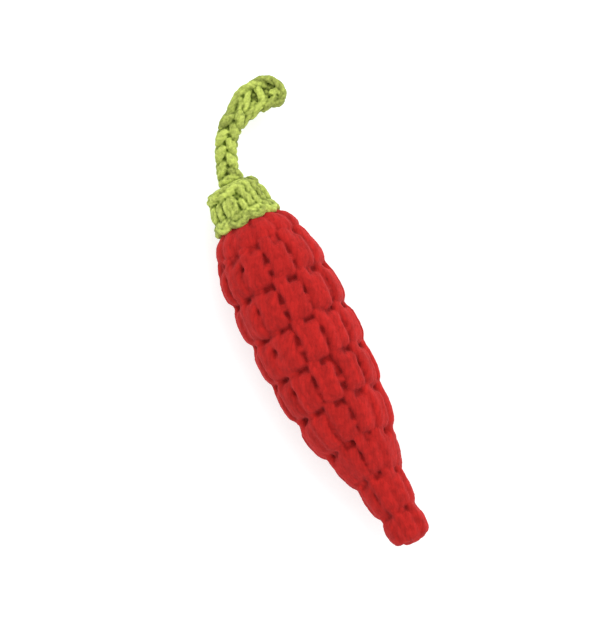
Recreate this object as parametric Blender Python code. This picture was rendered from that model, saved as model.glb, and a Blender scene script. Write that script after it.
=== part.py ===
"""A crocheted chili pepper: a stuffed tube of thick red yarn, a green cap and a hooked green stem.

It lies on its underside. +Y runs along it from the blunt tip to the stem, +X is the side that the
stem hooks to, and +Z is up. The origin is the middle of the flat stretch that it rests on. A
station is a distance along the axis from the tip, and a turn is an angle round it, with the top
at a quarter turn. Sizes are in millimetres, and become metres where the vertices are made.
"""

from bisect import bisect_right
from math import cos, exp, pi, radians, sin, tau

import bmesh
import bpy
from mathutils import Vector

MM = 0.001
GAP = 0.3  # between two pieces that touch
REST_STATION = 63.4  # the origin lies under this one

# The body over the tops of its stitches: station and half-width
BODY_OUTLINE = [
    (0, 0.5),
    (0.3, 2.6),
    (1, 4.2),
    (2.2, 5.1),
    (4.9, 5.6),
    (12, 6.0),
    (20, 7.4),
    (30, 10.6),
    (36, 12.1),
    (46, 13.6),
    (58, 14.4),
    (68, 14.6),
    (79, 14.3),
    (86.8, 12.7),
    (92, 10.5),
    (93, 9.3),
    (94.2, 7.9),
    (95.4, 6.8),
    (96.6, 6.1),
    (100.5, 5.2),
]
NECK_END = BODY_OUTLINE[-1][0]
THICKEST = max(half for _, half in BODY_OUTLINE)
FLATTENING = 0.155  # a stuffed tube lies this share lower than it is wide where it is thickest
PRESS = 0.8  # how far its own weight flattens the underside
AXIS_HEIGHT = THICKEST * (1 - FLATTENING) - PRESS
TIP_BEND = 1.8  # the tip lies this far towards +X
BEND_LENGTH = 42
BEND_POWER = 1.3
WALL = 2.8  # crocheted fabric in this yarn is this thick
NECK_WALL = 2.0
NECK_START = 92

# Each band is two rows of stitches. It has a length, a count of stitches round, and the angle in
# degrees from the top towards +X of one of its gaps between stitches.
BANDS = [
    (9.8, 6, 35),
    (10.1, 8, 12),
    (9.9, 10, -10),
    (11.35, 12, 8),
    (11.35, 12, -13),
    (11.35, 12, -10),
    (11.35, 12, -6),
    (11.35, 12, -1),
    (11.35, 12, 3),
]
ROW_LEAN = 1.1  # a row's top lies this much nearer the stem than its sides do
LEAN_FROM = 30  # towards the tip, the rows straighten from here
LEAN_UNTIL = 84  # and towards the neck from here
GROOVE_DEPTH = 1.0
GROOVE_WIDTH = 1.15
SLIT_DEPTH = 0.85
SLIT_WIDTH = 0.9
SLIT_MIDDLE = 0.3  # between a gap's two holes its depth falls to this share
SMOOTH_TIP = 6.0  # the gaps between stitches fade over this length at the tip
SMOOTH_NECK = 91  # and end here, near the cap
FADE_LENGTH = 2
PRESSED_OVER = 1.5  # stitches flatten over this height above the surface

SIDES = 60  # of the body's outside
INNER_SIDES = SIDES // 2
BAND_SHARES = (0, 0.13, 0.3, 0.5, 0.7, 0.87)
TIP_STATIONS = (0.3, 1, 2.2, 3.6, 5.4, 7.2, 8.7)
NECK_STATIONS = (92, 93, 94.2, 95.4, 96.6, 98.5, NECK_END)
CAVITY_STATIONS = (3.1, 4, 6, 10, 15, 20, 26, 32, 39, 46, 54, 62, 70, 78, 85, 90, 93, 95, 97)
FILLING_STATIONS = (3.9, 4.8, 7, 11, 16, 21, 27, 33, 39, 46, 54, 62, 70, 78, 85, 90, 93, 95, 98)
FILLING_START = 3.5
FILLING_END = 99.6

# The cap's outside from its rim to its top, and its inside from its rim to its ceiling
CAP_OUTSIDE = [(93.5, 9.45), (95, 9.3), (97.2, 8.8), (101.9, 7.8), (104.4, 7.2), (105.4, 6.0), (105.6, 4.6)]
CAP_OUTSIDE_STATIONS = (94.6, 95.8, 97.2, 98.4, 99.6, 100.8, 101.9, 103, 104, 104.8, 105.4, 105.6)
CAP_INSIDE = [(95.6, 7.3), (97, 6.7), (100, 6.0), (102.4, 5.2), (103.2, 3.6)]
CAP_CEILING = 103.3
CAP_ROW_EDGES = (97.2, 101.9)
CAP_STITCHES = 10
CAP_FIRST_GAP = 5  # degrees from the top towards +X
CAP_SIDES = 5 * CAP_STITCHES
CAP_GROOVE_DEPTH = 0.6
CAP_GROOVE_WIDTH = 0.7
CAP_SLIT_DEPTH = 0.5
CAP_SLIT_WIDTH = 0.8
CAP_SMOOTH_TOP = 105.3  # the gaps between stitches fade below this
CAP_SMOOTH_FROM = 103.3
SCALLOP = 0.5  # the rim's waves, each way

# The stem's centreline: across, station and height. It leaves the middle of the cap's top.
STEM_BASE = CAP_OUTSIDE[-1][0] + GAP
STEM_ROUTE = [
    (0.9, STEM_BASE, 11.5),
    (1.4, 109.1, 11.4),
    (4.3, 115.1, 11.0),
    (9.0, 119.9, 10.4),
    (14.9, 123.0, 9.6),
    (18.6, 122.8, 9.2),
    (21.2, 121.9, 8.9),
    (23.0, 120.9, 8.7),
]
# The cord's half-width by the share of the way along it
STEM_OUTLINE = [
    (0, 3.4),
    (0.12, 3.1),
    (0.5, 3.0),
    (0.63, 3.6),
    (0.76, 4.3),
    (0.86, 3.7),
    (0.95, 2.9),
    (1, 1.4),
]
STEM_FLATNESS = 0.86
STEM_SIDES = 20
STEM_RINGS = 58
LOBE_PITCH = 3.5
LOBE_DEPTH = 0.45
LOBE_SLANT = 1.4  # each lobe slants this far along the cord between its side and its middle
MIDDLE_GROOVE = 0.55
MIDDLE_WIDTH = 0.6
PLAIN_RINGS = 3  # the lobes grow over the first rings, so that the base is flat

RED = (0.47, 0.024, 0.021)
GREEN = (0.39, 0.46, 0.085)
WHITE = (0.82, 0.81, 0.78)


def smooth_value(points, place):
    """The height at a place of a smooth curve through (place, height) points, without overshoot."""
    index = min(max(bisect_right([p for p, _ in points], place), 1), len(points) - 1)
    slopes = [(b[1] - a[1]) / (b[0] - a[0]) for a, b in zip(points, points[1:])]

    def slope_at(number):
        before = slopes[max(number - 1, 0)]
        after = slopes[min(number, len(slopes) - 1)]
        return 0 if before * after <= 0 else 2 * before * after / (before + after)

    (start, low), (end, high) = points[index - 1 : index + 1]
    step = end - start
    t = min(max((place - start) / step, 0), 1)
    from_ends = low * (1 - t) ** 2 * (1 + 2 * t) + high * t * t * (3 - 2 * t)
    from_slopes = slope_at(index - 1) * t * (1 - t) ** 2 - slope_at(index) * t * t * (1 - t)
    return from_ends + from_slopes * step


def ramp(value, low, high):
    """0 below low, 1 above high, and a smooth rise between."""
    t = min(max((value - low) / (high - low), 0), 1)
    return t * t * (3 - 2 * t)


def dip(distance, width):
    """The depth share of a soft groove at a distance from its middle."""
    return exp(-((distance / width) ** 2))


def to_gap(turn, stitches, first_gap):
    """The angle from a turn to the nearest of the evenly spaced gaps between stitches."""
    pitch = tau / stitches
    past = (turn - pi / 2 + radians(first_gap)) % pitch
    return min(past, pitch - past)


def section_point(half_width, turn, inset=0.0):
    """A point of the flattened round section, as (across, up) from its middle."""
    half_height = half_width * (1 - FLATTENING * half_width / THICKEST)
    return (half_width - inset) * cos(turn), (half_height - inset) * sin(turn)


def body_point(station, turn, inset):
    """A point at an inset below the tops of the body's stitches."""
    across, up = section_point(smooth_value(BODY_OUTLINE, station), turn, inset)
    bend = TIP_BEND * max(0, 1 - station / BEND_LENGTH) ** BEND_POWER
    lean = ROW_LEAN * ramp(station, 0, LEAN_FROM) * (1 - ramp(station, LEAN_UNTIL, SMOOTH_NECK))
    return Vector((bend + across, station - REST_STATION + lean * sin(turn), AXIS_HEIGHT + up))


def band_at(station):
    """The number of the band that a station is in, and its share of the way along it."""
    start = 0
    for number, (length, _, _) in enumerate(BANDS):
        if station < start + length:
            break
        start += length
    return number, (station - start) / length


def stitch_relief(station, turn):
    """How deep the surface lies below the tops of the stitches, in grooves between bands and gaps."""
    number, share = band_at(station)
    length, stitches, first_gap = BANDS[number]
    to_edge = length * (1 - share if number == 0 else min(share, 1 - share))
    groove = GROOVE_DEPTH * dip(to_edge, GROOVE_WIDTH)
    round_it = to_gap(turn, stitches, first_gap) * smooth_value(BODY_OUTLINE, station)
    two_holes = 1 - (1 - SLIT_MIDDLE) * (1 + cos(4 * pi * share)) / 2
    slit = SLIT_DEPTH * two_holes * dip(round_it, SLIT_WIDTH) * ramp(station, 0, SMOOTH_TIP)
    return max(groove, slit) * (1 - ramp(station, SMOOTH_NECK - FADE_LENGTH, SMOOTH_NECK))


def body_skin(station, turn):
    """A point of the crocheted surface, pressed flat where it meets the surface that it lies on."""
    height = body_point(station, turn, 0).z
    pressed = ramp(height, 0, PRESSED_OVER)
    point = body_point(station, turn, stitch_relief(station, turn) * pressed)
    point.z = max(point.z, 0)
    return point


def ring_turns(sides, first=0.0):
    """Evenly spaced turns, the first of them given in degrees from the top towards +X."""
    return [pi / 2 - radians(first) + tau * k / sides for k in range(sides)]


def body_rings():
    """The outside's rings, whose points follow the gaps of the band that they are in."""
    step = 360 / SIDES
    offsets = [(first + step / 2) % step - step / 2 for _, _, first in BANDS]
    rings = [[body_skin(s, t) for t in ring_turns(SIDES, offsets[0])] for s in TIP_STATIONS]
    start = BANDS[0][0]
    for number, (length, _, _) in enumerate(BANDS[1:], 1):
        for share in BAND_SHARES:
            station = start + share * length
            if station > SMOOTH_NECK:
                break
            offset = offsets[number] if share else (offsets[number - 1] + offsets[number]) / 2
            rings.append([body_skin(station, t) for t in ring_turns(SIDES, offset)])
        start += length
    return rings + [[body_skin(s, t) for t in ring_turns(SIDES)] for s in NECK_STATIONS]


def wall_at(station):
    """The cover's thickness, which is less where it is drawn in at the neck."""
    return WALL + (NECK_WALL - WALL) * ramp(station, NECK_START, NECK_END)


def join_rings(bm, rings, first_pole=None, last_pole=None):
    """Skins a row of rings, closed by a point at either end if one is given.

    Args:
        bm: the mesh that takes the faces.
        rings: lists of points. Each has as many points as the last, or half as many.
        first_pole: a point before the first ring.
        last_pole: a point after the last ring.
    """
    made = [[bm.verts.new(point * MM) for point in ring] for ring in rings]
    for low, high in zip(made, made[1:]):
        count = len(high)
        for k in range(count):
            after = (k + 1) % count
            if len(low) == count:
                bm.faces.new((low[k], low[after], high[after], high[k]))
                continue
            near, middle, far = (low[(2 * k + n) % len(low)] for n in range(3))
            bm.faces.new((near, middle, high[k]))
            bm.faces.new((middle, high[after], high[k]))
            bm.faces.new((middle, far, high[after]))
    for pole, ring in ((first_pole, made[0]), (last_pole, made[-1])):
        if pole is None:
            continue
        middle = bm.verts.new(pole * MM)
        for k, vertex in enumerate(ring):
            bm.faces.new((vertex, ring[(k + 1) % len(ring)], middle))


def make_finish(name, colour, roughness):
    """A plain non-metallic material."""
    material = bpy.data.materials.new(name)
    material.use_nodes = True
    shader = material.node_tree.nodes["Principled BSDF"]
    shader.inputs["Base Color"].default_value = (*colour, 1)
    shader.inputs["Roughness"].default_value = roughness
    shader.inputs["Metallic"].default_value = 0
    return material


def make_piece(name, bm, material):
    """Turns a finished bmesh into a named object, smooth shaded, with its faces pointing out."""
    bmesh.ops.recalc_face_normals(bm, faces=bm.faces)
    mesh = bpy.data.meshes.new(name)
    bm.to_mesh(mesh)
    bm.free()
    mesh.shade_smooth()
    mesh.materials.append(material)
    piece = bpy.data.objects.new(name, mesh)
    bpy.context.scene.collection.objects.link(piece)
    return piece


def make_body_cover(material):
    """The red tube: the stitched outside, the neck's open end, then the smooth cavity."""
    rings = body_rings()
    for station in (NECK_END, *reversed(CAVITY_STATIONS)):
        inset = wall_at(station)
        rings.append([body_point(station, turn, inset) for turn in ring_turns(INNER_SIDES)])
    bm = bmesh.new()
    join_rings(bm, rings, body_point(0, 0, BODY_OUTLINE[0][1]), cavity_pole(WALL))
    make_piece("body_cover", bm, material)


def cavity_pole(station):
    """The point of the body's middle line at a station."""
    return body_point(station, 0, smooth_value(BODY_OUTLINE, station))


def make_body_filling(material):
    """The fibre filling, which fills the cavity up to the neck."""
    rings = []
    for station in FILLING_STATIONS:
        inset = wall_at(station) + GAP
        rings.append([body_point(station, turn, inset) for turn in ring_turns(INNER_SIDES)])
    bm = bmesh.new()
    join_rings(bm, rings, cavity_pole(FILLING_START), cavity_pole(FILLING_END))
    make_piece("body_filling", bm, material)


def cap_point(station, half_width, turn):
    """A point of the cap, whose section is flattened as the body's is."""
    across, up = section_point(half_width, turn)
    return Vector((across, station - REST_STATION, AXIS_HEIGHT + up))


def cap_skin(station, turn):
    """A point of the cap's stitched outside."""
    half_width = smooth_value(CAP_OUTSIDE, station)
    to_edge = min(abs(station - edge) for edge in CAP_ROW_EDGES)
    groove = CAP_GROOVE_DEPTH * dip(to_edge, CAP_GROOVE_WIDTH)
    round_it = to_gap(turn, CAP_STITCHES, CAP_FIRST_GAP) * half_width
    slit = CAP_SLIT_DEPTH * dip(round_it, CAP_SLIT_WIDTH)
    slit *= 1 - ramp(station, CAP_SMOOTH_FROM, CAP_SMOOTH_TOP)
    return cap_point(station, half_width - max(groove, slit), turn)


def make_cap(material):
    """The green cup: its ceiling, its inside, its waved rim, its outside and its closed top."""
    turns = ring_turns(CAP_SIDES, CAP_FIRST_GAP)
    rings = [[cap_point(s, half, t) for t in turns] for s, half in reversed(CAP_INSIDE)]
    rim_station, rim_half_width = CAP_OUTSIDE[0]
    rim = []
    for turn in turns:
        wave = SCALLOP * cos(CAP_STITCHES * to_gap(turn, CAP_STITCHES, CAP_FIRST_GAP))
        rim.append(cap_point(rim_station + wave, rim_half_width - wave, turn))
    rings.append(rim)
    rings += [[cap_skin(station, turn) for turn in turns] for station in CAP_OUTSIDE_STATIONS]
    bm = bmesh.new()
    top = CAP_OUTSIDE[-1][0]
    join_rings(bm, rings, cap_point(CAP_CEILING, 0, 0), cap_point(top, 0, 0))
    make_piece("cap", bm, material)


def stem_middle(share):
    """A point of the stem's centreline, by the share of the way along its route."""
    place = share * (len(STEM_ROUTE) - 1)
    axes = ([(n, point[axis]) for n, point in enumerate(STEM_ROUTE)] for axis in range(3))
    across, station, height = (spline_value(points, place) for points in axes)
    return Vector((across, station - REST_STATION, height))


def spline_value(points, place):
    """The value at a place of a spline through evenly placed (place, value) points."""
    last = len(points) - 1
    index = min(int(place), last - 1)
    before, low, high, after = (
        points[min(max(index + n, 0), last)][1] for n in (-1, 0, 1, 2)
    )
    t = place - index
    slope_low, slope_high = (high - before) / 2, (after - low) / 2
    from_ends = low * (1 - t) ** 2 * (1 + 2 * t) + high * t * t * (3 - 2 * t)
    return from_ends + slope_low * t * (1 - t) ** 2 - slope_high * t * t * (1 - t)


def make_stem(material):
    """The green cord: two columns of slanting lobes along a route that hooks over to +X."""
    shares = [k / STEM_RINGS for k in range(STEM_RINGS + 1)]
    middles = [stem_middle(share) for share in shares]
    along = 0
    rings = []
    for k, (share, middle) in enumerate(zip(shares, middles)):
        along += (middle - middles[max(k - 1, 0)]).length
        heading = middles[min(k + 1, STEM_RINGS)] - middles[max(k - 1, 0)]
        if k == 0:
            heading = Vector((0, 1, 0))
        side = heading.cross(Vector((0, 0, 1))).normalized()
        up = side.cross(heading).normalized()
        half = smooth_value(STEM_OUTLINE, share)
        ring = []
        for turn in ring_turns(STEM_SIDES):
            slant = LOBE_SLANT * abs(sin(turn))
            lobe = LOBE_DEPTH * (1 - cos(tau * (along + slant) / LOBE_PITCH)) / 2
            middle_groove = MIDDLE_GROOVE * dip(half * cos(turn), MIDDLE_WIDTH)
            reach = half - max(lobe, middle_groove) * ramp(k, 0, PLAIN_RINGS)
            ring.append(middle + side * reach * cos(turn) + up * reach * STEM_FLATNESS * sin(turn))
        rings.append(ring)
    bm = bmesh.new()
    join_rings(bm, rings, middles[0], middles[-1] + (middles[-1] - middles[-2]))
    make_piece("stem", bm, material)


def main():
    """Clears the scene and makes the four pieces."""
    for old in list(bpy.data.objects):
        bpy.data.objects.remove(old, do_unlink=True)
    red_yarn = make_finish("red_yarn", RED, 0.9)
    green_yarn = make_finish("green_yarn", GREEN, 0.9)
    fibre = make_finish("fibre_filling", WHITE, 1.0)
    make_body_cover(red_yarn)
    make_body_filling(fibre)
    make_cap(green_yarn)
    make_stem(green_yarn)


if __name__ == "__main__":
    main()
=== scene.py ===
"""The looks of a crocheted chili pepper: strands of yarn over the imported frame.

Every strand is a swept tube, and a piece's strands and its core are joined into one soft skin,
on which the material draws plies and fibres. The body's strands form bands of two rows round a
stuffed tube, the cap's form rounds, and the stem's form a crocheted cord. Sizes are in
millimetres and become metres where a strand or a vertex is placed. A station is a distance
along the axis from the blunt tip, and a turn is an angle from the top towards +X.
"""

import logging
import math
import random
from bisect import bisect_right
from collections.abc import Sequence
from dataclasses import dataclass, field
from enum import Enum

import bmesh
import bpy
from mathutils import Matrix, Vector, noise
from mathutils.kdtree import KDTree


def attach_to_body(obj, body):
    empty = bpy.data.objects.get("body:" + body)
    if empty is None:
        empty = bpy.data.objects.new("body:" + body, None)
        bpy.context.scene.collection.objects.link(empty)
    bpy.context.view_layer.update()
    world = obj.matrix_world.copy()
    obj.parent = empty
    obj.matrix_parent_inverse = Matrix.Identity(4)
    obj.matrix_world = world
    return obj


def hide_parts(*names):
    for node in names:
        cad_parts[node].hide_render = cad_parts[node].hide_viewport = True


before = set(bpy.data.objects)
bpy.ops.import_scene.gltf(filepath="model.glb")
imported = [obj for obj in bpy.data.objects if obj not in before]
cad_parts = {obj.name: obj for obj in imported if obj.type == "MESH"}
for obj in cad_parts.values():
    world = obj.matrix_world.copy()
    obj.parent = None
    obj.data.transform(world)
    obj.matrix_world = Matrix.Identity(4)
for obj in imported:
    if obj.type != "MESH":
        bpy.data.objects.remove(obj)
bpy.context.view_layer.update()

log = logging.getLogger("chili_pepper")

MM = 0.001
REST_STATION = 63.4  # the origin lies under this station
AXIS_HEIGHT = 11.537  # of the body's middle line above the surface
SIDES_ROUND = 40  # of a form behind the stitches
RINGS_ALONG = 64  # of the same
LEAST_REACH = 1e-6  # the least distance from a ball's axis that is divided by

Piece = bpy.types.Object
Socket = bpy.types.NodeSocket
Pair = tuple[float, float]
Triple = tuple[float, float, float]


def smooth_value(points: Sequence[Pair], place: float) -> float:
    """Reads a smooth curve through points, without overshoot.

    Args:
        points: (place, height) pairs in order.
        place: where to read it.

    Returns:
        The height there. Past either end it is the end's height.
    """
    index = min(max(bisect_right([p for p, _ in points], place), 1), len(points) - 1)

    def slope_at(number: int) -> float:
        """The curve's slope at one of its points."""
        around = points[max(number - 1, 0) : number + 2]
        steps = [(b[1] - a[1]) / (b[0] - a[0]) for a, b in zip(around, around[1:])]
        before, after = steps[0], steps[-1]
        return 0.0 if before * after <= 0 else 2 * before * after / (before + after)

    (start, low), (end, high) = points[index - 1 : index + 1]
    step = end - start
    t = min(max((place - start) / step, 0.0), 1.0)
    from_ends = low * (1 - t) ** 2 * (1 + 2 * t) + high * t * t * (3 - 2 * t)
    from_slopes = slope_at(index - 1) * t * (1 - t) ** 2 - slope_at(index) * t * t * (1 - t)
    return from_ends + from_slopes * step


def ramp(value: float, low: float, high: float) -> float:
    """0 below low, 1 above high, and a smooth rise between."""
    t = min(max((value - low) / (high - low), 0.0), 1.0)
    return t * t * (3 - 2 * t)


def placed(x: float, station: float, z: float) -> Vector:
    """A point in millimetres, in the part's frame."""
    return Vector((x, station - REST_STATION, z))


def within(angle: float, span: Pair) -> bool:
    """Whether an angle in degrees lies in a span that runs up from its first end."""
    return (angle - span[0]) % 360 < span[1] - span[0]


def near(place: float, middle: float, reach: float) -> float:
    """1 at the middle and 0 from a reach away, with a smooth fall between."""
    return 1 - ramp(abs(place - middle), 0, reach)


def smooth_path(points: list[Vector], step: float) -> list[Vector]:
    """Runs a smooth path through points.

    Args:
        points: the points, in order.
        step: the spacing of the path's own points.

    Returns:
        Points along the path, with both ends.
    """
    path = []
    for number, (low, high) in enumerate(zip(points, points[1:])):
        before = points[max(number - 1, 0)]
        after = points[min(number + 2, len(points) - 1)]
        steps = max(1, round((high - low).length / step))
        for k in range(steps):
            t = k / steps
            ends = low * ((1 - t) ** 2 * (1 + 2 * t)) + high * (t * t * (3 - 2 * t))
            slopes = (high - before) * (t * (1 - t) ** 2) - (after - low) * (t * t * (1 - t))
            path.append(ends + slopes / 2)
    path.append(points[-1].copy())
    return path


def link_mesh(name: str, bm: bmesh.types.BMesh, merge: float = 1e-7) -> Piece:
    """Turns a bmesh into a smooth shaded piece in the scene, and frees it.

    Args:
        name: the piece's name.
        bm: its faces, which are turned outward.
        merge: the distance in metres within which vertices become one.

    Returns:
        The piece.
    """
    bmesh.ops.remove_doubles(bm, verts=bm.verts, dist=merge)
    bmesh.ops.recalc_face_normals(bm, faces=bm.faces)
    mesh = bpy.data.meshes.new(name)
    bm.to_mesh(mesh)
    bm.free()
    mesh.shade_smooth()
    piece = bpy.data.objects.new(name, mesh)
    bpy.context.scene.collection.objects.link(piece)
    return piece


def smooth_rounds(bm: bmesh.types.BMesh, rounds: int) -> None:
    """Moves every vertex half way to the middle of its neighbours, a number of times."""
    for _ in range(rounds):
        bmesh.ops.smooth_vert(
            bm, verts=bm.verts, factor=0.5, use_axis_x=True, use_axis_y=True, use_axis_z=True
        )


def share_down(vertex: bmesh.types.BMVert) -> float:
    """How far round a ball of radius 1 a vertex lies from its top, as a share of the way."""
    return math.acos(max(-1.0, min(1.0, vertex.co.z))) / math.pi


def new_material(
    name: str, roughness: float, specular: float
) -> tuple[bpy.types.Material, bpy.types.Node]:
    """Makes a matt material, and gives it with its shader."""
    material = bpy.data.materials.new(name)
    material.use_nodes = True
    shader = material.node_tree.nodes["Principled BSDF"]
    shader.inputs["Roughness"].default_value = roughness
    shader.inputs["Specular IOR Level"].default_value = specular
    return material, shader


@dataclass(frozen=True)
class Yarn:
    """A plied yarn: its thickness, the grooves between its plies, and how they twist."""

    radius: float = 1.5
    plies: int = 3
    sides_per_ply: int = 4
    groove: float = 0.13
    twist_length: float = 11.0
    step: float = 0.62

    def section_points(self) -> list[Pair]:
        """The outline of the yarn's cut end, with a valley between plies."""
        sides = self.plies * self.sides_per_ply
        outline = []
        for k in range(sides):
            in_valley = 0.5 + 0.5 * math.cos(math.tau * k / self.sides_per_ply)
            reach = self.radius * (1 - self.groove * in_valley**2)
            angle = math.tau * k / sides
            outline.append((reach * math.cos(angle), reach * math.sin(angle)))
        return outline


@dataclass
class YarnWork:
    """Strands of one yarn, gathered and then joined into one skin.

    The hollow rounds are how often the skin is smoothed to tell its hollows, where shade is painted,
    from its tops.
    """

    name: str
    yarn: Yarn
    voxel: float = 0.33
    softening: int = 3
    hollow_rounds: int = 24
    roughness: float = 0.09
    grain: float = 1.0
    grain_fade: float = 1.0
    grain_step: float = 2.0
    grain_layers: int = 3
    taper_power: float = 2.5
    number_seed: int = 1
    strands: list[tuple[list[Vector], float, float]] = field(default_factory=list)

    def add(self, points: list[Vector], thickness: float = 1.0, taper: float = 0.0) -> None:
        """Adds a strand.

        Args:
            points: the points that it passes through, in millimetres.
            thickness: its share of the yarn's thickness.
            taper: the share of that thickness that it loses toward its ends.
        """
        self.strands.append((smooth_path(points, self.yarn.step), thickness, taper))

    def _section(self) -> Piece:
        """Makes the closed flat curve that is swept along the strands."""
        curve = bpy.data.curves.new(f"{self.name}_section", "CURVE")
        curve.dimensions = "2D"
        outline = self.yarn.section_points()
        spline = curve.splines.new("POLY")
        spline.points.add(len(outline) - 1)
        for point, (x, y) in zip(spline.points, outline):
            point.co = (x * MM, y * MM, 0, 1)
        spline.use_cyclic_u = True
        return bpy.data.objects.new(curve.name, curve)

    def _swept(self) -> bpy.types.Mesh:
        """Sweeps the section along every strand, and gives the tubes as one mesh."""
        section = self._section()
        curve = bpy.data.curves.new(f"{self.name}_path", "CURVE")
        curve.dimensions = "3D"
        curve.bevel_mode = "OBJECT"
        curve.bevel_object = section
        curve.use_fill_caps = True
        for strand, thickness, taper in self.strands:
            self._add_spline(curve, strand, thickness, taper)
        holder = bpy.data.objects.new(curve.name, curve)
        for helper in (section, holder):
            bpy.context.scene.collection.objects.link(helper)
        graph = bpy.context.evaluated_depsgraph_get()
        mesh = bpy.data.meshes.new_from_object(holder.evaluated_get(graph))
        for helper in (section, holder):
            bpy.data.curves.remove(helper.data)
        mesh.name = self.name
        return mesh

    def build(self, core: Piece, floor: float | None = None) -> Piece:
        """Sweeps the strands and joins them and a core into one soft skin.

        Args:
            core: a closed piece inside the strands, which is used up.
            floor: a height in metres that no vertex may lie below, or None.

        Returns:
            The piece, with each vertex's place on its strand as an attribute.
        """
        bm = bmesh.new()
        bm.from_mesh(self._swept())
        bm.from_mesh(core.data)
        bpy.data.meshes.remove(core.data)
        piece = link_mesh(self.name, bm)
        joined = piece.modifiers.new("joined", "REMESH")
        joined.mode = "VOXEL"
        joined.voxel_size = self.voxel * MM
        graph = bpy.context.evaluated_depsgraph_get()
        mesh = bpy.data.meshes.new_from_object(piece.evaluated_get(graph))
        piece.modifiers.clear()
        piece.data = mesh
        self._soften(mesh, floor)
        self._mark_hollows(mesh)
        self._mark_strands(mesh)
        mesh.shade_smooth()
        return piece

    def _soften(self, mesh: bpy.types.Mesh, floor: float | None) -> None:
        """Softens the creases where strands meet, roughens the skin and keeps it off the floor."""
        bm = bmesh.new()
        bm.from_mesh(mesh)
        smooth_rounds(bm, self.softening)
        bm.normal_update()
        for vertex in bm.verts:
            place = vertex.co / (self.grain * MM)
            swell = noise.fractal(place, self.grain_fade, self.grain_step, self.grain_layers)
            vertex.co += vertex.normal * (swell * self.roughness * MM)
            if floor is not None:
                vertex.co.z = max(vertex.co.z, floor)
        bm.to_mesh(mesh)
        bm.free()

    def _mark_hollows(self, mesh: bpy.types.Mesh) -> None:
        """Writes how far each vertex lies below its surroundings, in millimetres.

        The attribute yarn_hollow is the way from the vertex to a much smoothed copy of itself; the
        material paints shade by it.
        """
        bm = bmesh.new()
        bm.from_mesh(mesh)
        smooth_rounds(bm, self.hollow_rounds)
        hollows = mesh.attributes.new("yarn_hollow", "FLOAT", "POINT")
        values = [
            (smoothed.co - vertex.co).dot(vertex.normal) / MM
            for vertex, smoothed in zip(mesh.vertices, bm.verts)
        ]
        hollows.data.foreach_set("value", values)
        bm.free()

    def _mark_strands(self, mesh: bpy.types.Mesh) -> None:
        """Writes where each vertex lies on its nearest strand.

        The attribute yarn_place holds the distance along the strand in millimetres, the turn
        round it from its outer side, and a number of its own.
        """
        samples = [
            (place, strand[min(k + 1, len(strand) - 1)] - strand[max(k - 1, 0)], k, number)
            for number, (strand, _, _) in enumerate(self.strands)
            for k, place in enumerate(strand)
        ]
        tree = KDTree(len(samples))
        for index, sample in enumerate(samples):
            tree.insert(sample[0], index)
        tree.balance()
        chance = random.Random(self.number_seed)
        own = [chance.random() for _ in self.strands]
        places = mesh.attributes.new("yarn_place", "FLOAT_VECTOR", "POINT")
        values = []
        for vertex in mesh.vertices:
            here = vertex.co / MM
            _, index, _ = tree.find(here)
            centre, ahead, k, number = samples[index]
            tangent = ahead.normalized()
            outward = Vector((centre.x, 0, centre.z - AXIS_HEIGHT))
            outward = (outward - tangent * outward.dot(tangent)).normalized()
            across = tangent.cross(outward)
            offset = here - centre
            along = k * self.yarn.step + offset.dot(tangent)
            turn = math.atan2(offset.dot(across), offset.dot(outward)) / math.tau
            values.extend((along, turn, own[number]))
        places.data.foreach_set("vector", values)

    def _add_spline(
        self, curve: bpy.types.Curve, strand: list[Vector], thickness: float, taper: float
    ) -> None:
        """Adds one strand to the curve, with its plies' twist and its tapered ends."""
        spline = curve.splines.new("POLY")
        spline.points.add(len(strand) - 1)
        along = 0.0
        for k, (point, place) in enumerate(zip(spline.points, strand)):
            along += (place - strand[max(k - 1, 0)]).length
            point.co = (*(place * MM), 1)
            point.tilt = math.tau * along / self.yarn.twist_length
            from_middle = abs(2 * k / (len(strand) - 1) - 1)
            point.radius = thickness * (1 - taper * from_middle**self.taper_power)


@dataclass(frozen=True)
class TurnedForm:
    """A form like a turned one, a little flat, given by the tops of its stitches."""

    outline: tuple[Pair, ...]
    flattening: float = 0.155
    widest: float = 14.6
    slope_reach: float = 0.15

    def bend(self, station: float) -> float:
        """How far the middle line lies towards +X."""
        return 0.0

    def lean(self, station: float) -> float:
        """How far a row lies further along at the top than at the sides."""
        return 0.0

    def point(self, station: float, turn: float, depth: float) -> Vector:
        """A point of the form in millimetres.

        Args:
            station: the distance from the tip of the point's place on the tops of the stitches.
            turn: the angle from the top towards +X, in radians.
            depth: how far it lies below the tops, square to them.

        Returns:
            The point, in the part's frame.
        """
        half_width = smooth_value(self.outline, station)
        reach = self.slope_reach
        ahead = smooth_value(self.outline, station + reach)
        slope = (ahead - smooth_value(self.outline, station - reach)) / (2 * reach)
        square = math.hypot(1, slope)
        half_width = max(half_width - depth / square, 0.0)
        along = station + depth * slope / square
        half_height = half_width * (1 - self.flattening * half_width / self.widest)
        x = self.bend(along) + half_width * math.sin(turn)
        y = along - REST_STATION + self.lean(along) * math.cos(turn)
        z = AXIS_HEIGHT + half_height * math.cos(turn)
        return Vector((x, y, z))

    def point_across(self, side: float, station: float, depth: float) -> Vector:
        """A point of the form's upper half in millimetres, by its place towards +X.

        Args:
            side: how far the point of the tops above it lies towards +X of the middle line.
            station: that point's distance from the tip.
            depth: how far the point lies below the tops, square to them.

        Returns:
            The point, in the part's frame.
        """
        half_width = smooth_value(self.outline, station)
        turn = math.asin(max(-1.0, min(1.0, side / half_width)))
        return self.point(station, turn, depth)


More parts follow.
